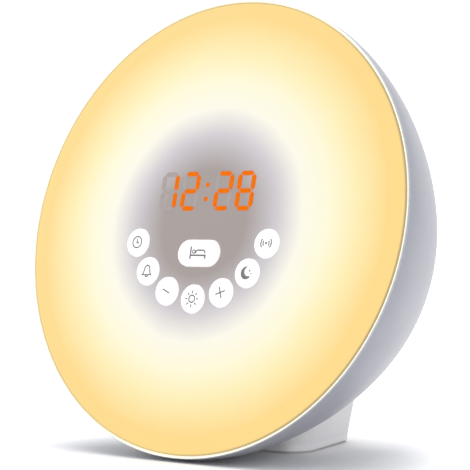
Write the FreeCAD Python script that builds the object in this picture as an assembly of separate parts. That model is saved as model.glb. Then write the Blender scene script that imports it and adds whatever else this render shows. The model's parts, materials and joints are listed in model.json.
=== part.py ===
import FreeCAD, Part
import math
import os

# Sunrise alarm clock: a round, glowing, leaning face on a bowl-shaped case with a foot behind.
# Millimetres. Pieces are drawn in the face's own frame (x to the viewer's right, y up the
# face, z out of the face, origin at the middle of the case's front edge) and are then leaned
# back and lifted. The foot is drawn upright, with the origin under its middle.

Vec = FreeCAD.Vector

# Overall driving sizes
face_tilt = 13.0
case_radius = 87.5
case_depth = 80.0
case_wall = 2.4
table_gap = 0.4
foot_reach = 49.5

# The case's side narrows from its front edge to where the round back corner starts. Each pair is
# a depth as a share of that stretch, and how much of the narrowing is still to come there.
case_end_radius = 51.9
case_end_gap = 5.0
case_bulge = [(0.0, 1.0), (0.133, 0.961), (0.4, 0.761), (0.733, 0.39), (1.0, 0.0)]

# Running gaps
slide_gap = 0.3
seat_gap = 0.1
thread_gap = 0.05

# Rim ring and diffuser
ring_height = 1.0
ring_lip = 0.8
ring_round = 0.35
ring_web = 0.9
ring_web_reach = 0.6
ring_sleeve_wall = 1.2
ring_sleeve_depth = 7.0
case_edge_wall = 2.3
groove_width = 0.4
diffuser_edge_height = 1.1
diffuser_rise = 2.3
diffuser_wall = 2.0
skirt_wall = 1.4
skirt_depth = 6.0

# Buttons: seven round ones on an arc under the display, and a wide one in the middle
button_radius = 5.35
button_proud = 0.6
button_travel = 0.6
button_round = 0.45
arc_radius = 32.5
arc_centre_y = 3.8
arc_step = 23.15
snooze_y = -11.5
snooze_width = 19.5
snooze_height = 10.0
flange_rim = 0.75
flange_wall = 1.0
stem_radius = 1.9
plunger_radius = 1.7
plunger_length = 1.8
switch_side = 6.0
switch_height = 3.5

# Display
display_x = -0.5
display_y = 12.0
display_width = 48.5
display_height = 20.0
display_front = 0.85
digit_height = 15.0
digit_width = 8.4
digit_pitch = 10.2
pair_offset = 13.0
stroke = 1.9
stroke_wall = 0.5
colon_rise = 2.75
colon_radius = 0.95

# Control housing and control board
housing_y = 2.0
housing_radius = 40.0
housing_wall = 1.5
housing_top = 0.3
plate_wall = 1.4
housing_depth = 13.0
leg_radius = 3.0
leg_circle = 42.0
board_wall = 1.6
board_post_radius = 2.5
board_post_spots = [(-30.5, 14.0), (30.5, 14.0), (-7.0, -19.5), (7.0, -19.5)]

# Reflector and lights
reflector_floor = 24.6
reflector_wall = 1.6
led_circle = 53.0
led_board_inner = led_circle - 6.0
led_board_outer = led_circle + 7.0
reflector_floor_radius = led_board_outer + 2.0
reflector_rim = 4.5
led_side = 5.0
led_height = 1.6
led_count = 12

# Main board
main_board_depth = 46.0
main_board_width = 100.0
main_board_height = 48.0
main_post_spots = [(-41.0, 18.0), (41.0, 18.0), (-41.0, -18.0), (41.0, -18.0)]
main_post_radius = 3.0
socket_height = 4.0

# Speaker
speaker_y = 15.5
speaker_radius = 25.5
speaker_depth = 14.8
gasket_wall = 0.8
magnet_radius = 15.0
magnet_height = 9.0
coil_radius = 6.6
coil_wall = 0.9
cone_radius = 18.0
cone_wall = 0.6
cone_travel = 0.5
grille_hole = 1.0
grille_pitch = 3.6
grille_radius = 17.5
speaker_post = 2.8

# Backup cell and its lid
cell_y = -26.0
cell_radius = 10.0
cell_height = 3.2
lid_radius = 12.8
lid_wall = 1.4
lid_recess = 1.5
lid_neck = 11.3
lug_reach = 1.6
lug_half_angle = 13.0
lid_turn = 45.0
holder_wall = 1.1

# Sockets in the back
jack_x = -26.0
jack_y = -22.0
jack_side = 10.5
jack_length = 12.0
jack_bore = 3.1
jack_bore_depth = 10.0
jack_pin = 1.0
jack_mouth = 4.0
gland_x = 26.0
gland_y = -22.0
gland_radius = 2.5
gland_bore = 1.2

# Points that a moved copy of the side is drawn through
side_samples = 14

# Screws
case_screw_circle = 60.0
case_screw_angles = (60.0, 120.0, 240.0, 300.0)
well_radius = 3.4
well_wall = 2.0
well_floor = 2.8
lead_radius = 1.2

# Foot
foot_length = 51.0
foot_front_half = 26.0
foot_back_half = 14.0
foot_corner = 9.0
foot_screw_depths = (case_depth - 28.0, case_depth - 11.0)
foot_height = 27.0
foot_draft = 10.0
foot_wall = 2.4
foot_base_wall = 2.4
pad_wall = 1.0
pad_inset = 0.8

lean = 90.0 - face_tilt
sin_t = math.sin(math.radians(face_tilt))
cos_t = math.cos(math.radians(face_tilt))


def at_angle(radius, degrees, centre_y=0.0):
    return (radius * math.cos(math.radians(degrees)),
            centre_y + radius * math.sin(math.radians(degrees)))


def rod(radius, low, high, x=0.0, y=0.0):
    return Part.makeCylinder(radius, high - low, Vec(x, y, low))


def sleeve(outer, inner, low, high, x=0.0, y=0.0):
    return rod(outer, low, high, x, y).cut(rod(inner, low - 1, high + 1, x, y))


def block(width, height, low, high, x=0.0, y=0.0):
    corner = Vec(x - width / 2, y - height / 2, low)
    return Part.makeBox(width, height, high - low, corner)


def soft_block(width, height, low, high, radius, x=0.0, y=0.0):
    body = block(width, height, low, high, x, y)
    upright = [e for e in body.Edges if abs(e.tangentAt(e.FirstParameter).z) > 0.9]
    return body.makeFillet(radius, upright)


def stadium(width, height, low, high, x=0.0, y=0.0):
    half = (width - height) / 2
    body = block(width - height, height, low, high, x, y)
    for side in (-half, half):
        body = body.fuse(rod(height / 2, low, high, x + side, y))
    return body.removeSplitter()


def lathe(edges, x=0.0, y=0.0):
    wire = Part.Wire(edges)
    turned = Part.Face(wire).revolve(Vec(0, 0, 0), Vec(0, 0, 1), 360)
    turned.translate(Vec(x, y, 0))
    return turned


def outline(points):
    """Straight edges round a closed list of (radius, z) points."""
    spots = [Vec(r, 0, z) for r, z in points]
    return [Part.makeLine(a, b) for a, b in zip(spots, spots[1:] + spots[:1])]


def turned(points, x=0.0, y=0.0):
    return lathe(outline(points), x, y)


def sector(radius, half_angle, middle, low, high, x, y):
    piece = Part.makeCylinder(radius, high - low, Vec(x, y, low), Vec(0, 0, 1), 2 * half_angle)
    piece.rotate(Vec(x, y, 0), Vec(0, 0, 1), middle - half_angle)
    return piece


def joined(first, others):
    for other in others:
        first = first.fuse(other)
    return first.removeSplitter()


def without(first, others):
    for other in others:
        first = first.cut(other)
    return first


def crown(radius):
    """Height of the diffuser's outer face at a distance from its middle."""
    return diffuser_edge_height + diffuser_rise * (1 - (radius / diffuser_radius) ** 2)


def crown_arc(edge_radius, top, edge):
    """The diffuser's dome as one arc from its middle to its edge."""
    middle = edge_radius / 2
    rise = top - edge
    return Part.Arc(Vec(0, 0, top), Vec(middle, 0, top - rise / 4), Vec(edge_radius, 0, edge)).toShape()


def case_curve():
    """The case's side as one curve, upright at the front edge."""
    points = [Vec(case_end_radius + (case_radius - case_end_radius) * width, 0,
                  -(case_depth - case_end_gap) * depth) for depth, width in case_bulge]
    curve = Part.BSplineCurve()
    curve.interpolate(Points=points, InitialTangent=Vec(0, 0, -1) * case_depth,
                      FinalTangent=Vec(-0.57, 0, -0.82) * case_depth)
    return curve


def case_corner():
    """Middle and radius of the round corner that leads from the side to the flat back."""
    curve = case_curve()
    end = curve.value(curve.LastParameter)
    along = curve.tangent(curve.LastParameter)[0]
    radius = (case_depth + end.z) / (1 + along.x)
    return end + Vec(along.z, 0, -along.x) * radius, radius


def case_edges(offset):
    """The case's side and corner, moved inwards by the offset along their own normals."""
    curve = case_curve()
    first, last = curve.FirstParameter, curve.LastParameter
    points = []
    for i in range(side_samples + 1):
        at = first + (last - first) * i / side_samples
        along = curve.tangent(at)[0]
        points.append(curve.value(at) + Vec(along.z, 0, -along.x) * offset)
    side = curve
    if offset != 0:
        side = Part.BSplineCurve()
        side.interpolate(Points=points)
    middle, radius = case_corner()
    radius -= offset
    start = points[-1]
    end = middle + Vec(0, 0, -radius)
    half = (start - middle).normalize() + Vec(0, 0, -1)
    arc = Part.Arc(start, middle + half.normalize() * radius, end)
    return points[0], end, [side.toShape(), arc.toShape()]


def envelope(offset):
    """The solid inside the case's outline, moved inwards by the offset."""
    start, end, edges = case_edges(offset)
    edges += [Part.makeLine(end, Vec(0, 0, end.z)),
              Part.makeLine(Vec(0, 0, end.z), Vec(0, 0, start.z)),
              Part.makeLine(Vec(0, 0, start.z), start)]
    return lathe(edges)


def case_spot(depth):
    """Point and outward normal of the case's side at a depth, in the plane through its foot."""
    curve = case_curve()
    low, high = curve.FirstParameter, curve.LastParameter
    for _ in range(40):
        middle = (low + high) / 2
        if -curve.value(middle).z < depth:
            low = middle
        else:
            high = middle
    point = curve.value(low)
    along = curve.tangent(low)[0]
    return Vec(0, -point.x, point.z), Vec(0, along.z, along.x)


def screw(head_radius, head_height, shank_radius, length):
    """A screw along +z with the underside of its head at the origin."""
    head = Part.makeCylinder(head_radius, head_height, Vec(0, 0, -head_height))
    rim = [e for e in head.Edges if e.Closed and abs(e.BoundBox.ZMin + head_height) < 1e-6]
    head = head.makeFillet(head_height * 0.45, rim)
    shank = Part.makeCylinder(shank_radius, length)
    slot = 0.22 * head_radius
    cross = block(1.3 * head_radius, slot, -head_height - 1, -head_height * 0.55)
    cross = cross.fuse(block(slot, 1.3 * head_radius, -head_height - 1, -head_height * 0.55))
    return head.fuse(shank).removeSplitter().cut(cross)


def placed(shape, spot, along):
    copy = shape.copy()
    copy.Placement = FreeCAD.Placement(Vec(*spot), FreeCAD.Rotation(Vec(0, 0, 1), Vec(*along)))
    return copy


# Lean of the face and its height over the table
_edge = case_curve()
_spots = [_edge.value(_edge.FirstParameter + (_edge.LastParameter - _edge.FirstParameter) * i / 200)
          for i in range(201)]
case_drop = max(p.x * cos_t - p.z * sin_t for p in _spots)
face_place = FreeCAD.Placement(Vec(0, -foot_reach, case_drop + table_gap),
                               FreeCAD.Rotation(Vec(1, 0, 0), lean))
up = (0, 0, 1)
back = (0, 0, -1)

# Radii and heights worked out from the sizes above
ring_inner = case_radius - ring_lip
diffuser_radius = ring_inner - groove_width
edge_radius = case_radius - case_edge_wall
sleeve_outer = edge_radius - seat_gap
sleeve_inner = sleeve_outer - ring_sleeve_wall
skirt_outer = sleeve_inner - seat_gap
skirt_inner = skirt_outer - skirt_wall
reflector_cone_radius = sleeve_outer - reflector_rim
ledge_z = -ring_sleeve_depth - reflector_wall
back_inner = -case_depth + case_wall
floor_z = -reflector_floor
floor_under = floor_z - reflector_wall

flange_top = crown(arc_radius) - diffuser_wall - slide_gap
flange_under = flange_top - flange_wall
plate_top = flange_under - button_travel - seat_gap
plate_under = plate_top - plate_wall
control_board_top = -9.3
control_board_under = control_board_top - board_wall
switch_top = control_board_top + switch_height
plunger_top = switch_top + 0.8
main_top = -main_board_depth
main_under = main_top - board_wall
speaker_seat = back_inner + gasket_wall
speaker_back = back_inner + gasket_wall + speaker_depth

names = ("clock", "alarm", "minus", "light", "plus", "sleep", "radio")
button_spots = {}
for i, name in enumerate(names):
    button_spots[name] = at_angle(arc_radius, -90 + (i - 3) * arc_step, arc_centre_y)
button_spots["snooze"] = (0.0, snooze_y)


def button_hole(name, gap, low, high):
    x, y = button_spots[name]
    if name == "snooze":
        return stadium(snooze_width + 2 * gap, snooze_height + 2 * gap, low, high, x, y)
    return rod(button_radius + gap, low, high, x, y)


# Front


def make_front_diffuser():
    top = diffuser_edge_height + diffuser_rise
    under_edge = diffuser_edge_height - diffuser_wall
    outer = crown_arc(diffuser_radius, top, diffuser_edge_height)
    inner = crown_arc(skirt_inner, top - diffuser_wall, crown(skirt_inner) - diffuser_wall)
    start = Vec(skirt_inner, 0, crown(skirt_inner) - diffuser_wall)
    points = [Vec(diffuser_radius, 0, diffuser_edge_height), Vec(diffuser_radius, 0, 0),
              Vec(skirt_outer, 0, 0), Vec(skirt_outer, 0, -skirt_depth),
              Vec(skirt_inner, 0, -skirt_depth), start]
    edges = [Part.makeLine(a, b) for a, b in zip(points, points[1:])]
    middle = Part.makeLine(Vec(0, 0, top - diffuser_wall), Vec(0, 0, top))
    body = lathe([outer] + edges + [inner, middle])
    holes = [button_hole(name, slide_gap, under_edge - 1, top + 1) for name in button_spots]
    return without(body, holes)


def make_rim_ring():
    band = sleeve_outer + ring_web_reach + ring_lip + 0.4
    points = [(sleeve_inner, -ring_sleeve_depth), (sleeve_outer, -ring_sleeve_depth),
              (sleeve_outer, -ring_web), (band, -ring_web), (band, 0), (case_radius, 0),
              (case_radius, ring_height), (ring_inner, ring_height), (ring_inner, 0),
              (sleeve_inner, 0)]
    ring = turned(points)
    rim = [e for e in ring.Edges if e.BoundBox.ZMin > ring_height - 1e-6]
    return ring.makeFillet(ring_round, rim)


def make_rear_shell():
    outer = envelope(0)
    lip = sleeve_outer + ring_web_reach + ring_lip + 0.5
    shell = without(outer, [envelope(case_wall), rod(edge_radius, ledge_z, 1), rod(lip, -ring_web, 1)])
    inside = [rod(sleeve_outer - 2, -case_wall - 5, 1)]
    shell = without(shell, inside)
    stock = []
    for angle in case_screw_angles:
        x, y = at_angle(case_screw_circle, angle)
        stock.append(rod(well_radius + well_wall, -case_depth, screw_seat + well_floor, x, y))
    for x, y in main_post_spots:
        stock.append(rod(main_post_radius, -case_depth, main_under, x, y))
    for x, y in speaker_post_spots:
        stock.append(rod(speaker_post, -case_depth, speaker_seat + 1.0, x, y))
    cradle = block(jack_side + 3, jack_side + 3, -case_depth, back_inner + 6, jack_x, jack_y)
    cradle = cradle.cut(block(jack_side + 2 * seat_gap, jack_side + 2 * seat_gap, -case_depth - 1,
                              back_inner + 7, jack_x, jack_y))
    stock.append(cradle)
    stock = [piece.common(outer) for piece in stock]
    shell = joined(shell, stock)
    cuts = []
    for angle in case_screw_angles:
        x, y = at_angle(case_screw_circle, angle)
        cuts.append(rod(well_radius, -case_depth - 1, screw_seat, x, y))
        cuts.append(rod(1.7, screw_seat - 1, screw_seat + well_floor + 1, x, y))
    for x, y in main_post_spots:
        cuts.append(rod(1.2 + thread_gap, main_under - 9, main_under + 1, x, y))
    for x, y in speaker_post_spots:
        cuts.append(rod(1.0 + thread_gap, -case_depth + 1.2, speaker_seat + 2, x, y))
    cuts += grille_holes()
    cuts.append(rod(lid_radius + slide_gap, -case_depth - 1, -case_depth + lid_recess, 0, cell_y))
    cuts.append(rod(lid_neck + slide_gap, -case_depth, back_inner + 1, 0, cell_y))
    for middle in (lid_turn, lid_turn + 180):
        cuts.append(sector(lid_neck + lug_reach + slide_gap, lug_half_angle + 4, middle,
                           -case_depth, back_inner + 1, 0, cell_y))
    cuts.append(rod(jack_mouth, -case_depth - 1, back_inner + 0.2, jack_x, jack_y))
    cuts.append(rod(gland_radius, -case_depth - 1, back_inner + 1, gland_x, gland_y))
    for spot, normal in foot_screw_spots:
        cuts.append(placed(Part.makeCylinder(1.7, 8, Vec(0, 0, -4)), spot, normal))
    return without(shell, cuts)


def grille_holes():
    holes = []
    rows = int(grille_radius / (grille_pitch * math.sin(math.radians(60)))) + 1
    for row in range(-rows, rows + 1):
        y = row * grille_pitch * math.sin(math.radians(60))
        shift = grille_pitch / 2 if row % 2 else 0.0
        for column in range(-rows - 2, rows + 3):
            x = column * grille_pitch + shift
            if math.hypot(x, y) <= grille_radius:
                holes.append(rod(grille_hole, -case_depth - 1, back_inner + 1, x, speaker_y + y))
    return holes


# Reflector, lights and control housing


def make_reflector():
    flange = sleeve_outer
    fall = reflector_wall * 0.45
    points = [(0, floor_z), (reflector_floor_radius, floor_z),
              (reflector_cone_radius, -ring_sleeve_depth), (flange, -ring_sleeve_depth),
              (flange, ledge_z), (reflector_cone_radius + fall, ledge_z),
              (reflector_floor_radius + fall, floor_under), (0, floor_under)]
    body = turned(points)
    bosses = []
    for angle in case_screw_angles:
        x, y = at_angle(case_screw_circle, angle)
        bosses.append(rod(3.5, screw_seat + well_floor, floor_z - reflector_wall / 2, x, y))
    body = joined(body, bosses)
    cuts = []
    for angle in case_screw_angles:
        x, y = at_angle(case_screw_circle, angle)
        cuts.append(rod(1.45 + thread_gap, screw_seat, floor_z - 0.6, x, y))
    for x, y in leg_spots:
        cuts.append(rod(1.6, floor_under - 1, floor_z + 1, x, y))
    cuts.append(block(17, 3, floor_under - 1, floor_z + 1, 0, ribbon_y))
    cuts.append(rod(lead_radius + 0.5, floor_under - 1, floor_z + 1, led_lead_x, led_lead_y))
    return without(body, cuts)


def make_led_board():
    return sleeve(led_board_outer, led_board_inner, floor_z, floor_z + board_wall)


def make_leds(offset):
    chips = []
    low = floor_z + board_wall
    for i in range(led_count):
        angle = 360.0 / led_count * i + offset
        x, y = at_angle(led_circle, angle)
        base = block(led_side, led_side, low, low + led_height * 0.75)
        lens = Part.makeCone(led_side * 0.4, led_side * 0.3, led_height * 0.25,
                             Vec(0, 0, low + led_height * 0.75))
        chip = base.fuse(lens)
        chip.rotate(Vec(0, 0, 0), Vec(0, 0, 1), angle)
        chip.translate(Vec(x, y, 0))
        chips.append(chip)
    return Part.makeCompound(chips)


def make_control_housing():
    top = housing_top
    body = rod(housing_radius, -housing_depth, top, 0, housing_y)
    inner = housing_radius - housing_wall
    body = without(body, [rod(inner, plate_top, top + 1, 0, housing_y),
                          rod(inner, -housing_depth - 1, plate_under, 0, housing_y)])
    posts = [rod(board_post_radius, control_board_top, plate_under, x, y)
             for x, y in board_post_spots]
    legs = [rod(leg_radius, floor_z, plate_under, x, y) for x, y in leg_spots]
    body = joined(body, posts + legs)
    window = block(display_width + 2 * slide_gap, display_height + 2 * slide_gap,
                   plate_under - 1, plate_top + 1, display_x, display_y)
    cuts = [window]
    for x, y in button_spots.values():
        cuts.append(rod(stem_radius + slide_gap, plate_under - 1, plate_top + 1, x, y))
    for x, y in board_post_spots:
        cuts.append(rod(1.1 + thread_gap, control_board_top - 1, plate_under - 1.5, x, y))
    for x, y in leg_spots:
        cuts.append(rod(1.4 + thread_gap, floor_z - 1, floor_z + 9, x, y))
    return without(body, cuts)


def make_control_board():
    board = rod(housing_radius - housing_wall - 0.9, control_board_under, control_board_top,
                0, housing_y)
    cuts = [rod(1.3, control_board_under - 1, control_board_top + 1, x, y)
            for x, y in board_post_spots]
    cuts += [rod(0.5, control_board_under - 1, control_board_top + 1, x, y)
             for x, y in display_pin_spots]
    return without(board, cuts)


# Buttons


def make_button(name):
    x, y = button_spots[name]
    top = crown(math.hypot(x, y)) + button_proud
    cap = button_hole(name, 0, flange_under, top)
    rim = [e for e in cap.Edges if e.BoundBox.ZMin > top - 1e-6]
    cap = cap.makeFillet(button_round, rim)
    flange = button_hole(name, flange_rim, flange_under, flange_top)
    stem = rod(stem_radius, plunger_top, flange_under, x, y)
    return joined(cap, [flange, stem])


def make_plunger(name):
    x, y = button_spots[name]
    return rod(plunger_radius, plunger_top - plunger_length, plunger_top, x, y)


def make_tact_switches():
    bodies = []
    for x, y in button_spots.values():
        body = soft_block(switch_side, switch_side, control_board_top, switch_top, 0.5, x, y)
        well = plunger_top - plunger_length - button_travel - 0.2
        bodies.append(body.cut(rod(plunger_radius + slide_gap, well, switch_top + 1, x, y)))
    return Part.makeCompound(bodies)


# Display


def digit_middles():
    middles = []
    for pair in (-pair_offset, pair_offset):
        for side in (-digit_pitch / 2, digit_pitch / 2):
            middles.append(display_x + pair + side)
    return middles


def bar(x, y, length, upright):
    """One pointed display bar."""
    half = length / 2
    tip = stroke / 2
    points = [(-half, 0), (-half + tip, tip), (half - tip, tip), (half, 0),
              (half - tip, -tip), (-half + tip, -tip), (-half, 0)]
    if upright:
        points = [(b, a) for a, b in points]
    wire = Part.makePolygon([Vec(x + a, y + b, display_front - stroke_wall) for a, b in points])
    return Part.Face(wire).extrude(Vec(0, 0, stroke_wall))


def digit_bars(middle, letters):
    across = (digit_width - stroke) / 2
    rise = (digit_height - stroke) / 2
    spots = {"a": (0, rise, False), "b": (across, rise / 2, True), "c": (across, -rise / 2, True),
             "d": (0, -rise, False), "e": (-across, -rise / 2, True), "f": (-across, rise / 2, True),
             "g": (0, 0, False)}
    bars = []
    for letter in letters:
        dx, dy, upright = spots[letter]
        length = rise - 0.35 if upright else digit_width - stroke - 0.35
        bars.append(bar(middle + dx, display_y + dy, length, upright))
    return bars


lit_letters = ("bc", "abged", "abged", "abcdefg")


def make_display_segments(lit):
    pieces = []
    for middle, letters in zip(digit_middles(), lit_letters):
        chosen = [c for c in "abcdefg" if (c in letters) == lit]
        pieces += digit_bars(middle, chosen)
    if lit:
        for side in (-colon_rise, colon_rise):
            pieces.append(rod(colon_radius, display_front - stroke_wall, display_front,
                              display_x, display_y + side))
    return Part.makeCompound(pieces)


def make_display_housing():
    low = control_board_top + 2.0
    body = soft_block(display_width, display_height, low, display_front, 0.8, display_x, display_y)
    feet = [block(3, 3, control_board_top, low, display_x + dx, display_y + dy)
            for dx in (-display_width / 2 + 3, display_width / 2 - 3)
            for dy in (-display_height / 2 + 3, display_height / 2 - 3)]
    body = joined(body, feet)
    return without(body, make_display_segments(True).Solids + make_display_segments(False).Solids)


def make_display_pins():
    low = control_board_under - 1.2
    high = control_board_top + 2.0
    return Part.makeCompound([rod(0.4, low, high, x, y) for x, y in display_pin_spots])


# Main board and what stands on it


def make_main_board():
    board = soft_block(main_board_width, main_board_height, main_under, main_top, 3.0)
    holes = [rod(1.4, main_under - 1, main_top + 1, x, y) for x, y in main_post_spots]
    return without(board, holes)


def make_board_chips():
    chips = []
    for side, height, x, y in ((12.0, 1.6, -16.0, 8.0), (8.0, 1.4, 20.0, -12.0), (5.0, 1.2, -2.0, 14.0)):
        chips.append(block(side, side, main_top, main_top + height, x, y))
    return Part.makeCompound(chips)


def make_tuner_shield():
    can = soft_block(18, 14, main_top, main_top + 3.5, 1.0, 24, 10)
    top = [e for e in can.Edges if e.BoundBox.ZMin > main_top + 3.4]
    return can.makeFillet(0.5, top)


def make_capacitors():
    cans = []
    for radius, height, x, y in ((4.0, 11.0, -34.0, -2.0), (4.0, 11.0, -24.0, -14.0), (3.15, 9.0, 36.0, -6.0)):
        can = rod(radius, main_top, main_top + height, x, y)
        rim = [e for e in can.Edges if e.BoundBox.ZMin > main_top + height - 1e-6]
        cans.append(can.makeFillet(0.6, rim))
    return Part.makeCompound(cans)


def make_power_inductor():
    core = rod(5.0, main_top, main_top + 5.0, -8, -16)
    groove = sleeve(6.0, 3.8, main_top + 1.2, main_top + 3.8, -8, -16)
    return core.cut(groove)


def make_ribbon_sockets():
    upper = block(17, 5, control_board_under - socket_height, control_board_under, 0, ribbon_y)
    lower = block(17, 5, main_top, main_top + socket_height, 0, ribbon_y)
    return Part.makeCompound([upper, lower])


def make_ribbon_cable():
    return block(14, 0.8, main_top + socket_height, control_board_under - socket_height, 0, ribbon_y)


def make_internal_leads():
    led = rod(lead_radius, main_top, floor_z, led_lead_x, led_lead_y)
    speaker = rod(lead_radius, speaker_back - 4.2, main_under, 18.5, speaker_y)
    cell = rod(lead_radius, holder_top, main_under, 0, -18)
    power = rod(lead_radius, back_inner + jack_length, main_under, jack_x, jack_y + 3)
    return Part.makeCompound([led, speaker, cell, power])


# Speaker


def speaker_lathe(points):
    """A turned speaker piece, from (radius, height over the seat) points."""
    return turned([(r, speaker_seat + h) for r, h in points], 0, speaker_y)


def make_speaker_basket():
    r = speaker_radius
    d = speaker_depth
    return speaker_lathe([(r, 0), (r, 1), (r - 3.5, 1), (magnet_radius + 1, d - 2),
                          (magnet_radius + 1, d), (coil_radius + 1.6, d),
                          (coil_radius + 1.6, d - 1.2), (magnet_radius - 0.2, d - 1.2),
                          (magnet_radius - 0.2, d - 2.4), (r - 5, 1.2), (r - 5, 0)])


def make_speaker_magnet():
    d = speaker_depth
    gap = 0.55
    outer = coil_radius + coil_wall / 2 + gap
    pole = coil_radius - coil_wall / 2 - gap
    return speaker_lathe([(0, d + magnet_height), (magnet_radius, d + magnet_height),
                          (magnet_radius, d), (outer, d), (outer, d + 7), (pole, d + 7),
                          (pole, d - 0.8), (0, d - 0.8)])


def make_speaker_surround():
    r = speaker_radius - 5
    wall = 0.5
    low = 0.5
    roll = Part.makeTorus(r - 1.1, 1.1, Vec(0, speaker_y, speaker_seat + low))
    keep = sleeve(r, r - 2.1, speaker_seat + low, speaker_seat + 3, 0, speaker_y)
    hollow = Part.makeTorus(r - 1.1, 1.1 - wall, Vec(0, speaker_y, speaker_seat + low))
    return roll.common(keep).cut(hollow)


def make_voice_coil():
    low = speaker_seat + speaker_depth - 5.2
    return sleeve(coil_radius + coil_wall / 2, coil_radius - coil_wall / 2, low, low + 10.6,
                  0, speaker_y)


def make_speaker_cone():
    d = speaker_depth - 5.2
    inner = coil_radius + coil_wall / 2
    edge = 1.2
    cap = 1.6
    return speaker_lathe([(0, d - cap - cone_wall), (inner * 0.6, d - cap * 0.75 - cone_wall),
                          (inner, d - cone_wall - 0.3), (cone_radius, edge),
                          (cone_radius, edge + cone_wall), (inner, d),
                          (inner * 0.6, d - cap * 0.6), (0, d - cap)])


def make_speaker_gasket():
    return sleeve(speaker_radius, speaker_radius - 5, back_inner, speaker_seat, 0, speaker_y)


# Cell, lid and sockets


def make_battery_holder():
    bay = lid_neck + lug_reach + slide_gap + 0.3
    body = rod(bay + holder_wall, back_inner, holder_top, 0, cell_y)
    return without(body, [rod(bay, back_inner - 1, cell_low, 0, cell_y),
                          rod(cell_radius + 0.4, cell_low - 1, cell_low + cell_height + 0.2, 0, cell_y)])


def make_coin_cell():
    low = cell_low
    can = rod(cell_radius, low, low + cell_height * 0.82, 0, cell_y)
    rim = [e for e in can.Edges if e.Closed and e.BoundBox.ZMax < low + 1e-6]
    can = can.makeFillet(0.4, rim)
    cup = rod(cell_radius - 1.4, low, low + cell_height, 0, cell_y)
    return can.fuse(cup).removeSplitter()


def make_battery_contacts():
    plate = rod(3.0, cell_low + cell_height, cell_low + cell_height + 0.2, 0, cell_y)
    strip = block(0.25, 2.0, cell_low, cell_low + 2.4, cell_radius + 0.2, cell_y)
    return Part.makeCompound([plate, strip])


def make_battery_lid():
    low = -case_depth
    disc = rod(lid_radius, low, low + lid_wall, 0, cell_y)
    neck = rod(lid_neck, low, cell_low - 0.3, 0, cell_y)
    lug_low = back_inner + 0.4
    body = joined(disc, [neck])
    for middle in (0, 180):
        lug = sector(lid_neck + lug_reach, lug_half_angle, middle, lug_low, lug_low + 1.3, 0, cell_y)
        body = body.fuse(lug)
    slot = block(14, 1.8, low - 1, low + 0.8, 0, cell_y)
    return body.removeSplitter().cut(slot)


def make_dc_jack():
    body = soft_block(jack_side, jack_side, back_inner, back_inner + jack_length, 0.8, jack_x, jack_y)
    return body.cut(rod(jack_bore, back_inner - 1, back_inner + jack_bore_depth, jack_x, jack_y))


def make_dc_jack_pin():
    pin = rod(jack_pin, back_inner + 0.8, back_inner + jack_bore_depth, jack_x, jack_y)
    tip = [e for e in pin.Edges if e.Closed and e.BoundBox.ZMax < back_inner + 1]
    return pin.makeFillet(0.5, tip)


def make_antenna_grommet():
    low = -case_depth
    outer = gland_radius + 1.6
    points = [(gland_bore, low - 1.0), (outer, low - 1.0), (outer, low), (gland_radius, low),
              (gland_radius, back_inner), (outer, back_inner), (outer, back_inner + 1.2),
              (gland_bore, back_inner + 1.2)]
    return turned(points, gland_x, gland_y)


# Screws


def make_case_screws():
    one = screw(2.8, 2.0, 1.45, 8.0)
    spots = [at_angle(case_screw_circle, a) for a in case_screw_angles]
    return Part.makeCompound([placed(one, (x, y, screw_seat), up) for x, y in spots])


def make_housing_screws():
    one = screw(2.7, 1.9, 1.4, 8.0)
    return Part.makeCompound([placed(one, (x, y, floor_under), up) for x, y in leg_spots])


def make_control_board_screws():
    one = screw(2.2, 1.5, 1.1, 5.5)
    return Part.makeCompound([placed(one, (x, y, control_board_under), up)
                              for x, y in board_post_spots])


def make_main_board_screws():
    one = screw(2.5, 1.7, 1.2, 8.0)
    return Part.makeCompound([placed(one, (x, y, main_top), back) for x, y in main_post_spots])


def make_speaker_screws():
    one = screw(3.8, 1.3, 1.0, 2.6)
    return Part.makeCompound([placed(one, (x, y, speaker_seat + 1.0), back)
                              for x, y in speaker_post_spots])


# Foot, drawn upright over its own middle


def foot_plan(grow, z):
    """The foot's plan with round corners, grown outwards, as a wire at a height."""
    front = foot_front_half + grow
    rear = foot_back_half + grow
    half = foot_length / 2 + grow
    points = [Vec(-front, -half, z), Vec(front, -half, z), Vec(rear, half, z), Vec(-rear, half, z)]
    flat = Part.Face(Part.makePolygon(points + points[:1]))
    solid = flat.extrude(Vec(0, 0, 1))
    upright = [e for e in solid.Edges if abs(e.tangentAt(e.FirstParameter).z) > 0.9]
    solid = solid.makeFillet(max(foot_corner + grow, 1.0), upright)
    bottom = [f for f in solid.Faces if abs(f.BoundBox.ZMax - z) < 1e-6][0]
    return bottom.OuterWire


def foot_block(grow, low, high):
    rise = (high - low) * math.tan(math.radians(foot_draft))
    return Part.makeLoft([foot_plan(grow, low), foot_plan(grow + rise, high)], True)


def in_face(shape):
    """Leans a face-frame shape back and lifts it to its place over the table."""
    copy = shape.copy()
    copy.Placement = face_place.multiply(copy.Placement)
    return copy


foot_low = pad_wall + foot_base_wall


def foot_posts(radius, top):
    half = foot_length / 2
    spots = [(-foot_front_half + 7, -half + 7), (foot_front_half - 7, -half + 7),
             (-foot_back_half + 6, half - 9), (foot_back_half - 6, half - 9)]
    return [rod(radius, foot_low, foot_low + top, x, y) for x, y in spots]


def foot_bosses():
    bosses = []
    for spot, normal in foot_screw_spots:
        bosses.append(in_face(placed(Part.makeCylinder(3.6, 11), spot, normal)))
    return bosses


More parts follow.
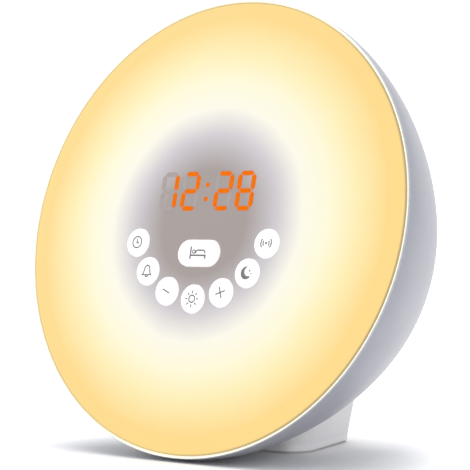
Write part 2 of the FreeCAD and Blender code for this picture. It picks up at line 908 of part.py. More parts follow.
def make_foot():
    body = foot_block(0, foot_low, foot_height)
    rim = [e for e in body.Edges if e.BoundBox.ZMin > foot_height - 1e-6]
    body = body.makeFillet(2.5, rim)
    stock = body.cut(in_face(envelope(0)))
    hollow = foot_block(-foot_wall, foot_low - 1, foot_height - foot_wall)
    hollow = hollow.cut(in_face(envelope(-foot_wall)))
    shell = stock.cut(hollow)
    inner = foot_posts(3.0, foot_height) + foot_bosses()
    inner = [piece.common(stock) for piece in inner]
    shell = joined(shell, inner)
    cuts = foot_posts(1.4 + thread_gap, 4.5)
    for spot, normal in foot_screw_spots:
        pilot = placed(Part.makeCylinder(1.4 + thread_gap, 9, Vec(0, 0, -1)), spot, normal)
        cuts.append(in_face(pilot))
    return without(shell, cuts)


def make_foot_base():
    plate = Part.Face(foot_plan(-seat_gap, pad_wall)).extrude(Vec(0, 0, foot_base_wall))
    half = foot_length / 2
    spots = [(-foot_front_half + 7, -half + 7), (foot_front_half - 7, -half + 7),
             (-foot_back_half + 6, half - 9), (foot_back_half - 6, half - 9)]
    cuts = []
    for x, y in spots:
        cuts.append(rod(1.6, 0, foot_low + 1, x, y))
        cuts.append(rod(2.9, 0, pad_wall + 1.5, x, y))
    return without(plate, cuts)


def make_foot_pad():
    pad = Part.Face(foot_plan(-pad_inset, 0)).extrude(Vec(0, 0, pad_wall))
    return pad


def make_foot_screws():
    upper = screw(2.7, 1.4, 1.4, 6.5)
    screws = []
    for spot, normal in foot_screw_spots:
        seat = spot - normal * (case_wall + seat_gap)
        screws.append(in_face(placed(upper, seat, normal)))
    half = foot_length / 2
    spots = [(-foot_front_half + 7, -half + 7), (foot_front_half - 7, -half + 7),
             (-foot_back_half + 6, half - 9), (foot_back_half - 6, half - 9)]
    lower = screw(2.7, 1.4, 1.4, 4.5)
    screws += [placed(lower, (x, y, pad_wall + 1.5), up) for x, y in spots]
    return Part.makeCompound(screws)


# Places that several pieces share
screw_seat = -33.8
leg_spots = [at_angle(leg_circle, a, housing_y) for a in (45, 135, 225, 315)]
speaker_post_spots = [at_angle(speaker_radius + speaker_post + slide_gap, a, speaker_y)
                      for a in (45, 135, 225, 315)]
ribbon_y = -4.0
led_lead_x = 48.0
led_lead_y = 6.0
cell_low = back_inner + 3.0
holder_top = cell_low + cell_height + 1.6
foot_screw_spots = [case_spot(depth) for depth in foot_screw_depths]
display_pin_spots = [(display_x + (i - 3.5) * 2.54 * 2, display_y + side * 7.5)
                     for i in range(8) for side in (-1, 1)]

face_parts = {
    "front_diffuser": make_front_diffuser,
    "rim_ring": make_rim_ring,
    "rear_shell": make_rear_shell,
    "reflector": make_reflector,
    "led_board": make_led_board,
    "leds_warm": lambda: make_leds(0.0),
    "leds_colour": lambda: make_leds(180.0 / led_count),
    "control_housing": make_control_housing,
    "control_board": make_control_board,
    "tact_switches": make_tact_switches,
    "display_housing": make_display_housing,
    "display_segments_lit": lambda: make_display_segments(True),
    "display_segments_off": lambda: make_display_segments(False),
    "display_pins": make_display_pins,
    "main_board": make_main_board,
    "board_chips": make_board_chips,
    "tuner_shield": make_tuner_shield,
    "capacitors": make_capacitors,
    "power_inductor": make_power_inductor,
    "ribbon_sockets": make_ribbon_sockets,
    "ribbon_cable": make_ribbon_cable,
    "internal_leads": make_internal_leads,
    "speaker_basket": make_speaker_basket,
    "speaker_magnet": make_speaker_magnet,
    "speaker_surround": make_speaker_surround,
    "speaker_cone": make_speaker_cone,
    "voice_coil": make_voice_coil,
    "speaker_gasket": make_speaker_gasket,
    "battery_holder": make_battery_holder,
    "battery_contacts": make_battery_contacts,
    "coin_cell": make_coin_cell,
    "battery_lid": make_battery_lid,
    "dc_jack": make_dc_jack,
    "dc_jack_pin": make_dc_jack_pin,
    "antenna_grommet": make_antenna_grommet,
    "case_screws": make_case_screws,
    "housing_screws": make_housing_screws,
    "control_board_screws": make_control_board_screws,
    "main_board_screws": make_main_board_screws,
    "speaker_screws": make_speaker_screws,
}

upright_parts = {
    "foot": make_foot,
    "foot_base": make_foot_base,
    "foot_pad": make_foot_pad,
    "foot_screws": make_foot_screws,
}


def save(name, shape):
    shape.exportStep("parts/%s.step" % name)
    box = shape.BoundBox
    print("%-22s solids %2d  valid %s  volume %9.1f  z %.2f to %.2f" % (
        name, len(shape.Solids), shape.isValid(), shape.Volume, box.ZMin, box.ZMax))


os.makedirs("parts", exist_ok=True)
for name, make in face_parts.items():
    save(name, in_face(make()))
for name in button_spots:
    save("button_" + name, in_face(make_button(name)))
    save("plunger_" + name, in_face(make_plunger(name)))
for name, make in upright_parts.items():
    save(name, make())
print("face middle %.3f high, nodes %d" % (
    face_place.Base.z, len(face_parts) + len(upright_parts) + 2 * len(button_spots)))
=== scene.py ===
# %% [markdown]
# A sunrise alarm clock is a lamp that is also a clock. Its parts are an opal dome that glows, a
# thin white ring that holds it, a bowl of painted plastic behind and a small foot. The solids come
# from the frame, already in place. This lesson dresses them: it gives every surface its own finish,
# lays the lit digits and the printed signs on them, and sets the camera, the floor and the lamps.

# %% Load the frame
import json
import math

import bpy
import numpy as np
from mathutils import Matrix, Vector


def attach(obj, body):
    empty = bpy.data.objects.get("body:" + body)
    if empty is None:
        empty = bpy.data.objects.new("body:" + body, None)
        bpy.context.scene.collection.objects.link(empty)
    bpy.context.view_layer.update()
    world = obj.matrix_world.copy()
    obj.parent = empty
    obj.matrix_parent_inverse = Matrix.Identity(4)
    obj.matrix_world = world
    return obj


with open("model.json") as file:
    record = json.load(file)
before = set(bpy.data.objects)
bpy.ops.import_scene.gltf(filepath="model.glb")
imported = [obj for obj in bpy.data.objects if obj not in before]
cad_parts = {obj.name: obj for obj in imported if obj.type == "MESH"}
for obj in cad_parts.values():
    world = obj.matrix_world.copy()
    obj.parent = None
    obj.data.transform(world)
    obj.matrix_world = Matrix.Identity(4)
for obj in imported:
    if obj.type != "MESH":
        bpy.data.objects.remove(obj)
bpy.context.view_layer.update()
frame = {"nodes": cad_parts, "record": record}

# %% [markdown]
# Everything on the face is easiest to place in the face's own frame: x to the viewer's right, y up
# the face and z out of it, in millimetres. The face leans back 13 degrees, so one matrix turns that
# frame into the world's metres. Its middle is 49.5 mm in front of the foot's middle and 86.6 mm over
# the table.

# %% The face's own frame
MM = 0.001
LEAN = math.radians(13.0)
REACH, LIFT = 49.5, 86.559
DOME_RADIUS = 86.3
DOME_EDGE_HEIGHT, DOME_RISE = 1.1, 2.3

sin_lean, cos_lean = math.sin(LEAN), math.cos(LEAN)
FACE = Matrix(((MM, 0, 0, 0),
               (0, MM * sin_lean, -MM * cos_lean, -MM * REACH),
               (0, MM * cos_lean, MM * sin_lean, MM * LIFT),
               (0, 0, 0, 1)))
FACE_ARRAY = np.array(FACE)
MIDDLE = FACE @ Vector((0, 0, 0))
NORMAL = Vector((0, -cos_lean, sin_lean))


def to_world(points):
    """Face-frame millimetres to world metres: rotate back by the lean, lift, and scale."""
    points = np.asarray(points, float)
    return points @ FACE_ARRAY[:3, :3].T + FACE_ARRAY[:3, 3]


def crown(x, y):
    """Height of the dome over the case's front edge: the edge's height, plus the rise times one
    minus the squared share of the radius."""
    return DOME_EDGE_HEIGHT + DOME_RISE * (1 - (x * x + y * y) / DOME_RADIUS ** 2)


# %% [markdown]
# The camera stands to the right of the clock, level with its middle, about 67 cm away, with a long
# lens. It looks level to a third of a degree, so the foot's upright edges stay upright.

# %% Camera
CAMERA_FROM_FACE = (419.25, -527.04, 0.05)
LOOK_AZIMUTH = 37.672
LOOK_UP = -0.327
FOCAL_PIXELS = 1806.6
PICTURE = 470.0
SENSOR = 36.0
NEAREST, FARTHEST = 0.05, 20.0

camera_data = bpy.data.cameras.new("camera")
camera_data.sensor_width = SENSOR
camera_data.lens = FOCAL_PIXELS / PICTURE * SENSOR
camera_data.clip_start = NEAREST
camera_data.clip_end = FARTHEST
camera = bpy.data.objects.new("camera", camera_data)
bpy.context.scene.collection.objects.link(camera)
bpy.context.scene.camera = camera
camera.location = MIDDLE + Vector(CAMERA_FROM_FACE) * MM
side, up = math.radians(LOOK_AZIMUTH), math.radians(LOOK_UP)
look = Vector((-math.sin(side) * math.cos(up), math.cos(side) * math.cos(up), math.sin(up)))
camera.rotation_mode = "QUATERNION"
camera.rotation_quaternion = look.to_track_quat("-Z", "Y")
print("lens", round(camera_data.lens, 1), "mm, camera at", [round(v, 3) for v in camera.location])

# %% [markdown]
# A material is a tree of small nodes, and a few helpers keep such a tree readable: one starts a
# material, one adds a sum, one a ramp of colours. Noise is always read from Object coordinates, so
# a grain keeps its real size on every piece.


# %% Nodes in short
NOISE_LOW, NOISE_HIGH = 0.3, 0.7


def new_material(name):
    """A new material with what each finish needs: its nodes, links, shader and coordinates."""
    material = bpy.data.materials.new(name)
    material.use_nodes = True
    nodes, links = material.node_tree.nodes, material.node_tree.links
    place = nodes.new("ShaderNodeTexCoord").outputs["Object"]
    return material, nodes, links, nodes["Principled BSDF"], place


def math_node(nodes, links, operation, first, second):
    """One Math node; each input is a number or a socket."""
    node = nodes.new("ShaderNodeMath")
    node.operation = operation
    for i, value in enumerate((first, second)):
        if isinstance(value, (int, float)):
            node.inputs[i].default_value = value
        else:
            links.new(value, node.inputs[i])
    return node.outputs[0]


def vector_node(nodes, links, operation, first, second=None):
    """One Vector Math node; the first input is a socket, the second three numbers or a socket."""
    node = nodes.new("ShaderNodeVectorMath")
    node.operation = operation
    links.new(first, node.inputs[0])
    if isinstance(second, Vector):
        node.inputs[1].default_value = second
    elif second is not None:
        links.new(second, node.inputs[1])
    return node.outputs["Value" if operation == "LENGTH" else "Vector"]


def ramp(nodes, links, factor, stops):
    """A Color Ramp: between two stops the colour changes in a straight line."""
    node = nodes.new("ShaderNodeValToRGB")
    elements = node.color_ramp.elements
    while len(elements) < len(stops):
        elements.new(0.5)
    for element, (at, colour) in zip(elements, stops):
        element.position = at
        element.color = (*colour, 1)
    links.new(factor, node.inputs[0])
    return node.outputs[0]


def noise(nodes, links, place, size_mm, detail):
    """Noise whose lumps are about size_mm wide: as many to the metre as fit side by side."""
    node = nodes.new("ShaderNodeTexNoise")
    node.inputs["Scale"].default_value = 1 / (size_mm * MM)
    node.inputs["Detail"].default_value = detail
    links.new(place, node.inputs["Vector"])
    return node.outputs["Fac"]


def spread(nodes, links, factor, low, high):
    """Maps noise, which mostly lies between 0.3 and 0.7, to low and high in a straight line."""
    node = nodes.new("ShaderNodeMapRange")
    node.inputs["From Min"].default_value = NOISE_LOW
    node.inputs["From Max"].default_value = NOISE_HIGH
    node.inputs["To Min"].default_value = low
    node.inputs["To Max"].default_value = high
    links.new(factor, node.inputs["Value"])
    return node.outputs["Result"]


def bump(nodes, links, shader, height, depth_mm):
    """Tilts the shading as a relief would whose hollows are depth_mm deep."""
    node = nodes.new("ShaderNodeBump")
    node.inputs["Strength"].default_value = 1.0
    node.inputs["Distance"].default_value = depth_mm * MM
    links.new(height, node.inputs["Height"])
    links.new(node.outputs[0], shader.inputs["Normal"])


def from_screen(red, green, blue):
    """A colour as a screen shows it, 0 to 255, as the linear light that a shader wants: a straight
    line near black, and above it a power of 2.4."""
    values = np.array([red, green, blue]) / 255.0
    light = np.where(values <= 0.04045, values / 12.92, ((values + 0.055) / 1.055) ** 2.4)
    return tuple(float(v) for v in light)


# %% [markdown]
# Most pieces of the lamp are moulded or painted. Up close such a surface is never quite even: its
# tone drifts a little over a centimetre, and a fine grain breaks up its gloss. A photograph of a
# surface could give both, but noise costs nothing, fits every piece and repeats nowhere.

# %% A moulded surface
GLOSS_SHIFT = 0.12
COAT_ROUGHNESS = 0.12
TONE_DETAIL, GRAIN_DETAIL = 4.0, 2.0
LUMP_SIZE = 9.0


def moulded(name, colour, rough, grain=0.6, depth=0.01, vary=0.04, metal=0.0, coat=0.0):
    """A moulded, painted or cast surface. Broad noise moves the tone up and down by the share vary;
    fine noise of size grain moves the roughness and gives a relief of the given depth."""
    material, nodes, links, shader, place = new_material(name)
    tone = noise(nodes, links, place, LUMP_SIZE, TONE_DETAIL)
    fine = noise(nodes, links, place, grain, GRAIN_DETAIL)
    darker = tuple(max(0.0, c * (1 - vary)) for c in colour)
    paler = tuple(min(1.0, c * (1 + vary)) for c in colour)
    tones = ramp(nodes, links, tone, [(NOISE_LOW, darker), (NOISE_HIGH, paler)])
    glossier, duller = rough * (1 - GLOSS_SHIFT), min(1.0, rough * (1 + GLOSS_SHIFT))
    links.new(tones, shader.inputs["Base Color"])
    links.new(spread(nodes, links, fine, glossier, duller), shader.inputs["Roughness"])
    shader.inputs["Metallic"].default_value = metal
    shader.inputs["Coat Weight"].default_value = coat
    shader.inputs["Coat Roughness"].default_value = COAT_ROUGHNESS
    bump(nodes, links, shader, fine, depth)
    return material, nodes, links, shader, place


# %% [markdown]
# The face glows, and its light is what a picture of the lamp shows best. It depends only on the
# distance from the face's axis. Inside about 30 mm the grey control housing behind the opal keeps
# the light back. Round it a nearly white band follows, where the lights sit close behind, and from
# there the colour warms steadily towards the rim. The distance of a point P from an axis with
# direction N through M is the length of (P - M) x N, so three vector nodes give it. Lights behind a
# translucent shell could make the glow too, but they render slowly and with noise, so here the opal
# gives off the light by itself.

# %% The glowing dome
GLOW = [(20, (165, 155, 151)), (28, (190, 183, 185)), (34, (209, 204, 208)), (40, (235, 231, 225)),
        (45, (253, 249, 233)), (55, (254, 249, 217)), (66, (254, 239, 182)), (80, (254, 219, 139))]
RAMP_REACH = 100.0
OWN_LIGHT = 0.585
# Painted light: the base colour takes the glow's tones at this share, with the lamp's light and the grey
# zone's shade.
PAINTED_GLOW_SHARE = 0.42
CLOUD_SIZE, CLOUD_SHIFT = 22.0, 0.006
WHITE = (1.0, 1.0, 1.0)
# Painted shade: the dome's last part, by the ring, darkens as the gap's shadow.
EDGE_STARTS, EDGE_ENDS, EDGE_SHADE = 85.90, 86.05, (0.42, 0.46, 0.62)
OPAL_GRAIN, OPAL_GRAIN_DEPTH = 0.5, 0.004
OPAL_GLOSSY, OPAL_DULL, OPAL_SPECULAR = 0.36, 0.46, 0.3


def share_on_face(nodes, links, place):
    """Distance from the face's axis as a share of RAMP_REACH, so that it can drive a ramp."""
    arm = vector_node(nodes, links, "SUBTRACT", place, MIDDLE)
    distance = vector_node(nodes, links, "LENGTH", vector_node(nodes, links, "CROSS_PRODUCT", arm, NORMAL))
    return math_node(nodes, links, "MULTIPLY", distance, 1 / (RAMP_REACH * MM))


def glow_stops(strength):
    """The glow's stops, with each colour times strength."""
    return [(radius / RAMP_REACH, tuple(strength * c for c in from_screen(*colour)))
            for radius, colour in GLOW]


def opal():
    """Opal acrylic: the ramp gives the light that leaves it, and a base colour in the same tones
    takes the room's light, so the lamp's light and the grey zone's shade are painted into its
    colour too. The last bit of the dome, where it turns down, is darker: a painted shade for the
    gap at the ring."""
    material, nodes, links, shader, place = new_material("opal_glow")
    share = share_on_face(nodes, links, place)
    cloud = noise(nodes, links, place, CLOUD_SIZE, GRAIN_DETAIL)
    cloud = spread(nodes, links, cloud, -CLOUD_SHIFT, CLOUD_SHIFT)
    clouded = math_node(nodes, links, "ADD", share, cloud)
    # edge: the painted shade of the gap at the ring, multiplied into both colours.
    edge = ramp(nodes, links, share, [(EDGE_STARTS / RAMP_REACH, WHITE), (EDGE_ENDS / RAMP_REACH, EDGE_SHADE)])
    for strength, socket in ((OWN_LIGHT, "Emission Color"), (PAINTED_GLOW_SHARE, "Base Color")):
        colour = ramp(nodes, links, clouded, glow_stops(strength))
        links.new(vector_node(nodes, links, "MULTIPLY", colour, edge), shader.inputs[socket])
    shader.inputs["Emission Strength"].default_value = 1.0
    fine = noise(nodes, links, place, OPAL_GRAIN, GRAIN_DETAIL)
    links.new(spread(nodes, links, fine, OPAL_GLOSSY, OPAL_DULL), shader.inputs["Roughness"])
    shader.inputs["Specular IOR Level"].default_value = OPAL_SPECULAR
    bump(nodes, links, shader, fine, OPAL_GRAIN_DEPTH)
    return material


finishes = {"opal_diffuser": opal()}
print("glow from", GLOW[0][0], "to", GLOW[-1][0], "mm, edge at", EDGE_STARTS, "mm")

# %% [markdown]
# Every other surface gets its finish from one table, with a colour in linear light and sizes in
# millimetres. The foot and the caps have a satin mould grain, rubber a deeper and duller one,
# metals a fine even grain like that of tinned sheet, and the speaker's paper the roughest. The white
# caps stand in the lamp's own light, which the solids behind them hold back in a render, so they
# give off a little painted light of their own, in white.

# %% A finish for each slot
FINISH = {
    "pale_foot": dict(colour=(0.74, 0.725, 0.735), rough=0.42, grain=0.5, depth=0.008, vary=0.02),
    "foot_rubber": dict(colour=(0.42, 0.41, 0.41), rough=0.85, grain=0.4, depth=0.03, vary=0.08),
    "button_white": dict(colour=(0.80, 0.79, 0.80), rough=0.40, grain=0.4, depth=0.006, vary=0.015),
    "reflector_white": dict(colour=(0.88, 0.88, 0.87), rough=0.7, grain=0.5, depth=0.01, vary=0.02),
    "housing_grey": dict(colour=(0.48, 0.46, 0.46), rough=0.6, grain=0.5, depth=0.01, vary=0.03),
    "led_yellow": dict(colour=(0.92, 0.74, 0.22), rough=0.25, grain=0.5, depth=0.004, vary=0.05, coat=0.5),
    "led_clear": dict(colour=(0.84, 0.84, 0.87), rough=0.2, grain=0.5, depth=0.004, vary=0.03, coat=0.5),
    "segment_orange": dict(colour=(0.90, 0.26, 0.03), rough=0.3, grain=0.4, depth=0.004, vary=0.04),
    "segment_off": dict(colour=(0.55, 0.50, 0.48), rough=0.4, grain=0.4, depth=0.004, vary=0.03),
    "black_plastic": dict(colour=(0.022, 0.022, 0.023), rough=0.5, grain=0.35, depth=0.02, vary=0.15),
    "socket_cream": dict(colour=(0.76, 0.71, 0.58), rough=0.45, grain=0.4, depth=0.008, vary=0.03),
    "plunger_grey": dict(colour=(0.12, 0.12, 0.125), rough=0.45, grain=0.3, depth=0.008, vary=0.05),
    "tinned_metal": dict(colour=(0.72, 0.72, 0.70), rough=0.3, grain=0.3, depth=0.006, vary=0.05, metal=1.0),
    "capacitor_can": dict(colour=(0.70, 0.71, 0.73), rough=0.28, grain=0.4, depth=0.004, vary=0.04,
                          metal=1.0),
    "ferrite_black": dict(colour=(0.045, 0.045, 0.05), rough=0.75, grain=0.25, depth=0.04, vary=0.2),
    "ribbon_grey": dict(colour=(0.42, 0.42, 0.44), rough=0.5, grain=1.27, depth=0.05, vary=0.06),
    "lead_black": dict(colour=(0.02, 0.02, 0.02), rough=0.45, grain=0.4, depth=0.01, vary=0.1),
    "speaker_steel": dict(colour=(0.035, 0.035, 0.04), rough=0.4, grain=0.4, depth=0.01, vary=0.1, coat=0.2),
    "speaker_rubber": dict(colour=(0.014, 0.014, 0.014), rough=0.7, grain=0.4, depth=0.02, vary=0.1),
    "speaker_paper": dict(colour=(0.03, 0.03, 0.03), rough=0.95, grain=0.25, depth=0.06, vary=0.3),
    "coil_copper": dict(colour=(0.80, 0.36, 0.16), rough=0.3, grain=0.2, depth=0.02, vary=0.1, metal=1.0),
    "screw_steel": dict(colour=(0.50, 0.50, 0.51), rough=0.32, grain=0.25, depth=0.01, vary=0.08, metal=1.0),
}
CAP_GLOW = 0.42

finishes.update({name: moulded(name, **values)[0] for name, values in FINISH.items()})
# Painted light: the caps give off white for the lamp's light that reaches them.
caps = finishes["button_white"].node_tree.nodes["Principled BSDF"]
caps.inputs["Emission Color"].default_value = (*WHITE, 1)
caps.inputs["Emission Strength"].default_value = CAP_GLOW

# %% [markdown]
# A circuit board is lacquer over copper tracks, which show as a paler pattern. The real pattern
# can't be seen from outside, so a cell texture stands for it: with distances measured along the
# axes its cells are square, and what lies far from a cell's point, near its edge, gets the track's
# colour.

# %% Boards
BOARD_CELLS = 260.0
TRACK_STARTS, TRACK_FULL = 0.42, 0.5


def board(name, lacquer, track):
    """A lacquered board: the distance from each cell's point turns lacquer into track."""
    material, nodes, links, shader, place = moulded(name, lacquer, 0.35, grain=0.4, depth=0.006)
    cells = nodes.new("ShaderNodeTexVoronoi")
    cells.distance = "CHEBYCHEV"
    cells.inputs["Scale"].default_value = BOARD_CELLS
    links.new(place, cells.inputs["Vector"])
    stops = [(TRACK_STARTS, lacquer), (TRACK_FULL, track)]
    links.new(ramp(nodes, links, cells.outputs["Distance"], stops), shader.inputs["Base Color"])
    return material


finishes["board_white"] = board("board_white", (0.82, 0.83, 0.81), (0.74, 0.75, 0.73))
finishes["board_green"] = board("board_green", (0.022, 0.19, 0.075), (0.03, 0.26, 0.10))

# %% [markdown]
# The ring round the dome is a thin milky white moulding. Its front takes some of the lamp's light,
# which is painted on as a glow, and its outer wall only the room's, so a painted shade turns it
# silver grey there. The same distance from the face's axis tells the two apart, which needs no
# second material on the ring.

# %% The white ring
# Painted light on the ring: a glow on its front, and a silver-grey painted shade on its outer wall.
RING_WHITE, RING_WALL_SHADE = (0.80, 0.79, 0.74), (0.40, 0.40, 0.43)
RING_GLOW, NO_GLOW = (0.44, 0.43, 0.35), (0.0, 0.0, 0.0)
RING_FRONT_ENDS, RING_WALL_STARTS = 87.25, 87.38


def rim():
    """White with a painted glow up to the front's outer edge, and from there a silver-grey painted shade with
    no glow.
    """
    material, nodes, links, shader, place = moulded("rim_white", RING_WHITE, 0.3, grain=0.4,
                                                    depth=0.004, vary=0.01)
    share = share_on_face(nodes, links, place)
    changes = {"Base Color": (RING_WHITE, RING_WALL_SHADE), "Emission Color": (RING_GLOW, NO_GLOW)}
    for socket, (front, wall) in changes.items():
        stops = [(RING_FRONT_ENDS / RAMP_REACH, front), (RING_WALL_STARTS / RAMP_REACH, wall)]
        links.new(ramp(nodes, links, share, stops), shader.inputs[socket])
    shader.inputs["Emission Strength"].default_value = 1.0
    return material


finishes["white_rim"] = rim()

# %% [markdown]
# The case is sprayed with silver paint: tiny flakes in a lilac grey, under a thin clear coat. A cell
# texture gives each flake its own tone, and a little of it is multiplied into the paint. A shader
# that is metal throughout would mirror the dark and bright of the room, which such paint doesn't, so
# only about an eighth of it is metal.

# %% Silver paint
FLAKES = 5200.0
FLAKE_SHARE = 0.10


def silver():
    """Moulded paint times each flake's own tone, mixed in by FLAKE_SHARE."""
    material, nodes, links, shader, place = moulded(
        "silver_case", (0.355, 0.360, 0.410), 0.40, grain=0.35, depth=0.006, vary=0.025, metal=0.12,
        coat=0.15)
    flakes = nodes.new("ShaderNodeTexVoronoi")
    flakes.inputs["Scale"].default_value = FLAKES
    links.new(place, flakes.inputs["Vector"])
    tone = nodes.new("ShaderNodeMix")
    tone.data_type = "RGBA"
    tone.blend_type = "MULTIPLY"
    tone.inputs["Factor"].default_value = FLAKE_SHARE
    links.new(shader.inputs["Base Color"].links[0].from_socket, tone.inputs[6])
    links.new(flakes.outputs["Color"], tone.inputs[7])
    links.new(tone.outputs[2], shader.inputs["Base Color"])
    return material


finishes["silver_case"] = silver()

# %% [markdown]
# The frame's record names one slot for each node. Every node's mesh already has that slot, so
# dressing the solids means putting the slot's finish into it.

# %% Hand out the finishes
slot_of = {row["node"]: row["material_slot"] for row in frame["record"]["subparts"]}
for name, node in frame["nodes"].items():
    for held in node.material_slots:
        held.material = finishes[slot_of[name]]
print("finishes", len(finishes), "for", len(slot_of), "nodes")

# %% [markdown]
# The digits shine through the opal, and the signs on the caps are printed on them. Both are flat
# shapes that follow a surface, so both are made the same way: an outline in the face's frame
# becomes a thin prism. Its lower corners lie just over the surface and its upper ones a little
# higher. An image texture would be simpler to draw, but a mark made of geometry stays sharp at any
# distance and moves with its cap.


# %% Flat marks on a surface
MARK_LIFT = 0.02


def circle(x, y, radius, count=28):
    """Corners of a round outline: the middle plus radius times cosine and sine of equal turns."""
    turn = np.linspace(0, 2 * math.pi, count, endpoint=False)
    return np.column_stack([x + radius * np.cos(turn), y + radius * np.sin(turn)])


def arc(x, y, radius, start, end, count):
    """Points on part of a circle, from one angle in degrees to another, anticlockwise."""
    turn = np.radians(np.linspace(start, end, count))
    return np.column_stack([x + radius * np.cos(turn), y + radius * np.sin(turn)])


def lay_marks(name, outlines, height, material, body, thick):
    """One piece of thin prisms. A corner (x, y) gets the surface's height there plus MARK_LIFT
    below, and thick more above; each outline closes with a bottom, a top and a wall of quads."""
    flat = np.concatenate(outlines)
    base = height(flat[:, 0], flat[:, 1]) + MARK_LIFT
    points = np.concatenate([np.column_stack([flat, base]), np.column_stack([flat, base + thick])])
    faces, start = [], 0
    for outline in outlines:
        ring = np.arange(start, start + len(outline))
        after = np.roll(ring, -1)
        faces += [ring[::-1].tolist(), (ring + len(flat)).tolist()]
        faces += np.column_stack([ring, after, after + len(flat), ring + len(flat)]).tolist()
        start += len(outline)
    mesh = bpy.data.meshes.new(name)
    mesh.from_pydata(to_world(points).tolist(), [], faces)
    mesh.materials.append(material)
    piece = bpy.data.objects.new(name, mesh)
    bpy.context.scene.collection.objects.link(piece)
    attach(piece, body)


# %% [markdown]
# A digit has seven bars, each a long hexagon with pointed ends that meet at the corners with a
# small gap. A table says which bars each figure lights. The lit bars give off orange light of their
# own, and the dark ones are a faint shade on the grey zone, as unlit bars behind opal are. Two round
# dots between the pairs make the colon.


# %% The bars of a digit
DIGIT_WIDTH, DIGIT_HEIGHT = 8.3, 15.1
UPRIGHT, LEVEL = 2.0, 1.8
BAR_GAP = 0.22
DIGIT_X = (-18.65, -8.4, 7.35, 17.5)
DIGIT_Y = 12.15
COLON_X, COLON_Y, COLON_RISE, COLON_RADIUS = -0.56, 11.85, 2.75, 0.95
BARS_OF = {"1": "bc", "2": "abged", "8": "abcdefg"}
BAR_THICK = 0.05


def bar(x0, y0, x1, y1, width):
    """A long hexagon from one corner of the digit to the next: its tips are half a width long."""
    along = np.array([x1 - x0, y1 - y0])
    along = along / np.linalg.norm(along)
    side = np.array([-along[1], along[0]]) * width / 2
    first, last = np.array([x0, y0]) + along * BAR_GAP, np.array([x1, y1]) - along * BAR_GAP
    near, far = first + along * width / 2, last - along * width / 2
    return np.array([first, near - side, far - side, last, far + side, near + side])


def digit_bars(middle_x):
    """The seven bars by letter: a on top, b to f clockwise, g in the middle."""
    half_width, half_height = (DIGIT_WIDTH - UPRIGHT) / 2, (DIGIT_HEIGHT - LEVEL) / 2
    left, right = middle_x - half_width, middle_x + half_width
    low, mid, high = DIGIT_Y - half_height, DIGIT_Y, DIGIT_Y + half_height
    return {"a": bar(left, high, right, high, LEVEL), "b": bar(right, high, right, mid, UPRIGHT),
            "c": bar(right, mid, right, low, UPRIGHT), "d": bar(right, low, left, low, LEVEL),
            "e": bar(left, low, left, mid, UPRIGHT), "f": bar(left, mid, left, high, UPRIGHT),
            "g": bar(left, mid, right, mid, LEVEL)}


lit, dark = [], []
for figure, middle_x in zip("1228", DIGIT_X):
    for letter, outline in digit_bars(middle_x).items():
        (lit if letter in BARS_OF[figure] else dark).append(outline)
lit += [circle(COLON_X, COLON_Y + rise, COLON_RADIUS) for rise in (COLON_RISE, -COLON_RISE)]
print("marks lit", len(lit), "dark", len(dark))

# %% [markdown]
# The bars' light has come through the opal, so it is soft: no gloss, and a faint cloud in it. Both
# strengths stay under one, because a brighter orange would be cut off and turn yellow.

# %% Light through the opal
BAR_CLOUD_SIZE, BAR_CLOUD = 1.6, 0.06
BAR_ROUGHNESS = 0.4


def glowing(name, colour, strength, base):
    """Light seen through opal: its colour goes up and down by the share BAR_CLOUD."""
    material, nodes, links, shader, place = new_material(name)
    cloud = noise(nodes, links, place, BAR_CLOUD_SIZE, GRAIN_DETAIL)
    darker = tuple((1 - BAR_CLOUD) * c for c in colour)
    paler = tuple(min(1.0, (1 + BAR_CLOUD) * c) for c in colour)
    stops = [(NOISE_LOW, darker), (NOISE_HIGH, paler)]
    links.new(ramp(nodes, links, cloud, stops), shader.inputs["Emission Color"])
    shader.inputs["Emission Strength"].default_value = strength
    shader.inputs["Base Color"].default_value = (*base, 1)
    shader.inputs["Roughness"].default_value = BAR_ROUGHNESS
    shader.inputs["Specular IOR Level"].default_value = 0.0
    return material


orange = glowing("digit_orange", from_screen(246, 120, 20), 0.92, (0.06, 0.01, 0.0))
shade = glowing("digit_off", from_screen(181, 172, 170), 0.62, (0.16, 0.143, 0.138))
lay_marks("digits_lit", lit, crown, orange, "case", BAR_THICK)
lay_marks("digits_dark", dark, crown, shade, "case", BAR_THICK)

# %% [markdown]
# Each cap carries a small printed sign. A sign is made of strokes: a path, a width, and one thin
# prism for each step of the path. A curve object with a flat bevel could do it too, but its ends and
# corners are harder to keep as wide as the line.


# %% A stroke of ink
LINE = 0.5
MITRE_LIMIT = 0.45


def stroke(path, width=LINE, closed=False):
    """A path as one flat quad for each step. A point moves half the width to both sides, along
    the normal of its two steps' mean direction, lengthened so that the strip keeps its width."""
    points = np.asarray(path, float)
    steps = np.roll(points, -1, axis=0) - points
    steps /= np.linalg.norm(steps, axis=1)[:, None]
    before = np.roll(steps, 1, axis=0)
    if not closed:
        steps[-1], before[0] = before[-1], steps[0]
    mean = steps + before
    mean /= np.linalg.norm(mean, axis=1)[:, None]
    lean = np.maximum(MITRE_LIMIT, (mean * steps).sum(axis=1))
    side = np.column_stack([-mean[:, 1], mean[:, 0]]) * (width / 2 / lean)[:, None]
    right, left = points - side, points + side
    quads = np.stack([right, np.roll(right, -1, axis=0), np.roll(left, -1, axis=0), left], axis=1)
    return list(quads if closed else quads[:-1])


# %% [markdown]
# The signs are plain ones: clock, bell, minus, sun, plus, moon, radio waves and a bed for the wide
# snooze bar. Each is drawn round its own middle, in millimetres, with arcs where it is round.


# %% The signs
def clock_sign():
    """A ring with two hands, one up and one to the right."""
    marks = stroke(circle(0, 0, 2.15, 32), closed=True)
    return marks + stroke([(-0.1, 1.25), (-0.1, -0.25), (0.95, -0.25)])


